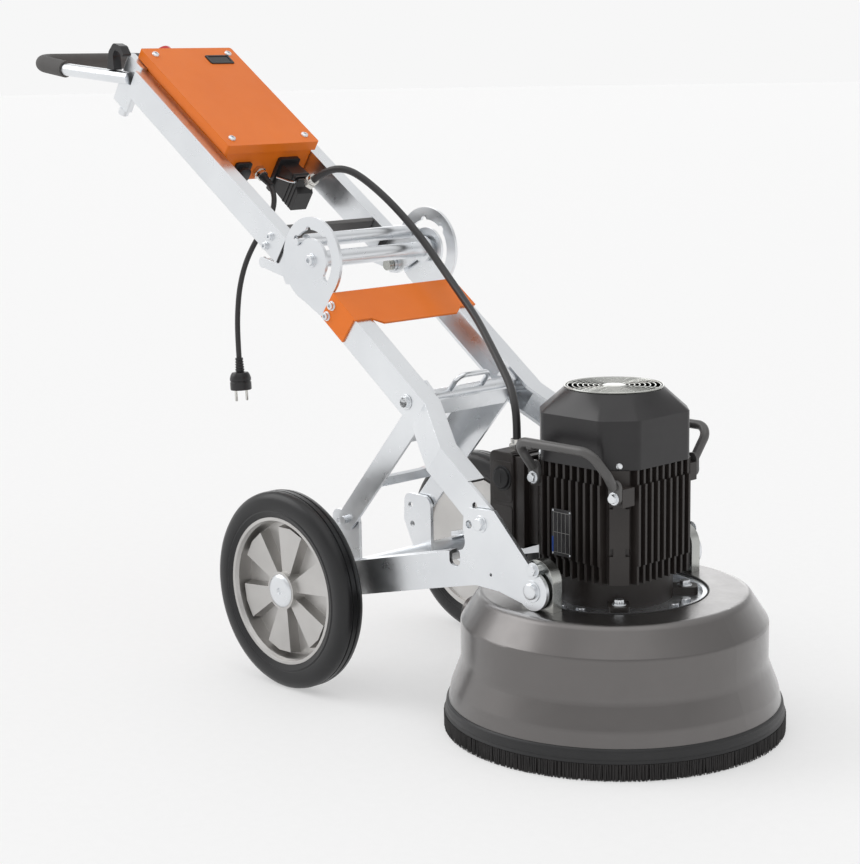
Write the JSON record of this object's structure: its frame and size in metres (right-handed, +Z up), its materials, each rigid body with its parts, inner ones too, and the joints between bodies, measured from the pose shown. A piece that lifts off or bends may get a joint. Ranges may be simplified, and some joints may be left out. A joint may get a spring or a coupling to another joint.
{
  "type": "walk-behind floor grinder",
  "caption": "Walk-behind planetary concrete floor grinder with a motor over a brush-skirted grinding head, two rear wheels and a folding handle frame with a control box.",
  "frame": {"origin": "on the floor, on the axis of the grinding head", "axes": "+X away from the operator, +Y to the operator's left, +Z up"},
  "size_m": [1.5265, 0.5, 0.9978],
  "materials": {
    "zinc": "bright zinc-plated sheet steel",
    "yellow_zinc": "yellow-chromate plated steel",
    "orange_paint": "orange powder coat, fine texture",
    "shroud_paint": "metallic grey-brown paint, satin",
    "motor_paint": "dark brown-grey paint on cast aluminium",
    "dark_plastic": "dark grey moulded plastic",
    "handle_paint": "grey-brown paint, satin",
    "cast_aluminium": "machined and cast aluminium",
    "tyre_rubber": "solid black rubber",
    "black_rubber": "black rubber",
    "bristles": "black nylon bristles",
    "nickel": "nickel-plated brass",
    "machined_steel": "machined steel",
    "diamond_bond": "sintered metal bond",
    "display": "dark window",
    "red_plastic": "red plastic",
    "green_plastic": "green plastic",
    "grip_foam": "dark grey closed-cell foam",
    "cord_sheath": "black rubber sheath"
  },
  "bodies": {
    "chassis": {"side_plate_right": "zinc", "side_plate_left": "zinc", "axle": "machined_steel", "cross_member": "zinc", "pivot_bolts": "zinc"},
    "wheel_right": {"wheel_right": "cast_aluminium", "tyre_right": "tyre_rubber", "hub_cap_right": "zinc"},
    "wheel_left": {"wheel_left": "cast_aluminium", "tyre_left": "tyre_rubber", "hub_cap_left": "zinc"},
    "head": {"shroud": "shroud_paint", "skirt_band": "black_rubber", "brush_skirt": "bristles", "motor_plate": "zinc", "sun_gear": "machined_steel", "head_bracket_right": "yellow_zinc", "head_bracket_left": "yellow_zinc", "motor_housing": "motor_paint", "fan_cowl": "dark_plastic", "fan_grille": "dark_plastic", "lifting_handle_right": "handle_paint", "lifting_handle_left": "handle_paint", "terminal_box": "dark_plastic", "head_fasteners": "zinc", "motor_gland": "nickel"},
    "carrier": {"planet_carrier": "machined_steel"},
    "tool_1": {"tool_disc_1": "machined_steel", "diamond_segments_1": "diamond_bond"},
    "tool_2": {"tool_disc_2": "machined_steel", "diamond_segments_2": "diamond_bond"},
    "tool_3": {"tool_disc_3": "machined_steel", "diamond_segments_3": "diamond_bond"},
    "frame": {"frame_rail_right": "zinc", "frame_rail_left": "zinc", "cross_plate": "orange_paint", "hinge_tube": "zinc", "frame_fasteners": "zinc", "motor_cable": "cord_sheath"},
    "latch": {"latch_tube": "zinc"},
    "brace": {"brace": "zinc"},
    "handle": {"upper_rail_right": "zinc", "upper_rail_left": "zinc", "lock_bar": "zinc", "control_box": "orange_paint", "control_lid": "orange_paint", "display_window": "display", "upper_fasteners": "zinc", "handle_brackets": "zinc", "handle_bar": "zinc", "hand_grip": "grip_foam", "cable_hook": "dark_plastic", "motor_connector": "dark_plastic", "control_glands": "nickel", "power_lead": "cord_sheath", "power_plug": "dark_plastic"},
    "lever": {"release_lever": "zinc"},
    "estop": {"estop_button": "red_plastic"},
    "start": {"start_button": "green_plastic"},
    "knob": {"speed_knob": "dark_plastic"}
  },
  "joints": [
    {"name": "wheel_right_spin", "type": "hinge", "parent": "chassis", "child": "wheel_right", "pos_m": [-0.482, -0.2128, 0.1557], "axis": [0, 1, 0], "continuous": true},
    {"name": "wheel_left_spin", "type": "hinge", "parent": "chassis", "child": "wheel_left", "pos_m": [-0.482, 0.2128, 0.1557], "axis": [0, 1, 0], "continuous": true},
    {"name": "head_float", "type": "hinge", "parent": "chassis", "child": "head", "pos_m": [-0.0024, 0, 0.2317], "axis": [0, 1, 0], "range_deg": [-6, 6]},
    {"name": "carrier_spin", "type": "hinge", "parent": "head", "child": "carrier", "pos_m": [0, 0, 0.05], "axis": [0, 0, 1], "continuous": true},
    {"name": "tool_1_spin", "type": "hinge", "parent": "carrier", "child": "tool_1", "pos_m": [0.125, 0, 0.03], "axis": [0, 0, 1], "continuous": true},
    {"name": "tool_2_spin", "type": "hinge", "parent": "carrier", "child": "tool_2", "pos_m": [-0.0625, 0.10825, 0.03], "axis": [0, 0, 1], "continuous": true},
    {"name": "tool_3_spin", "type": "hinge", "parent": "carrier", "child": "tool_3", "pos_m": [-0.0625, -0.10825, 0.03], "axis": [0, 0, 1], "continuous": true},
    {"name": "frame_fold", "type": "hinge", "parent": "chassis", "child": "frame", "pos_m": [-0.1021, 0, 0.3119], "axis": [0, 1, 0], "range_deg": [-36, 0]},
    {"name": "brace_swing", "type": "hinge", "parent": "chassis", "child": "brace", "pos_m": [-0.485, 0, 0.245], "axis": [0, 1, 0], "range_deg": [0, 40]},
    {"name": "latch_turn", "type": "hinge", "parent": "frame", "child": "latch", "pos_m": [-0.3, 0, 0.46], "axis": [0, 1, 0], "range_deg": [-50, 0], "stiffness_Nm_per_rad": 1, "springref_deg": 22.92},
    {"name": "handle_fold", "type": "hinge", "parent": "frame", "child": "handle", "pos_m": [-0.51, 0, 0.659], "axis": [0, 1, 0], "range_deg": [0, 130], "deforming": ["motor_cable"]},
    {"name": "lever_pull", "type": "hinge", "parent": "handle", "child": "lever", "pos_m": [-0.577, 0, 0.63], "axis": [0, 1, 0], "range_deg": [-20, 0], "stiffness_Nm_per_rad": 1.5, "springref_deg": 22.92},
    {"name": "estop_press", "type": "slide", "parent": "handle", "child": "estop", "axis": [0.8254, 0, -0.5645], "range_m": [0, 0.005], "stiffness_N_per_m": 900, "springref_m": -0.003},
    {"name": "start_press", "type": "slide", "parent": "handle", "child": "start", "axis": [0.8254, 0, -0.5645], "range_m": [0, 0.003], "stiffness_N_per_m": 600, "springref_m": -0.003},
    {"name": "speed_turn", "type": "hinge", "parent": "handle", "child": "knob", "pos_m": [-1.00782, 0.064, 0.95688], "axis": [0.8254, 0, -0.5645], "range_deg": [-135, 135]}
  ],
  "couplings": [
    {"joint": "tool_1_spin", "follows": "carrier_spin", "ratio": 1.5},
    {"joint": "tool_2_spin", "follows": "carrier_spin", "ratio": 1.5},
    {"joint": "tool_3_spin", "follows": "carrier_spin", "ratio": 1.5},
    {"joint": "brace_swing", "follows": "frame_fold", "ratio": -1.1}
  ]
}
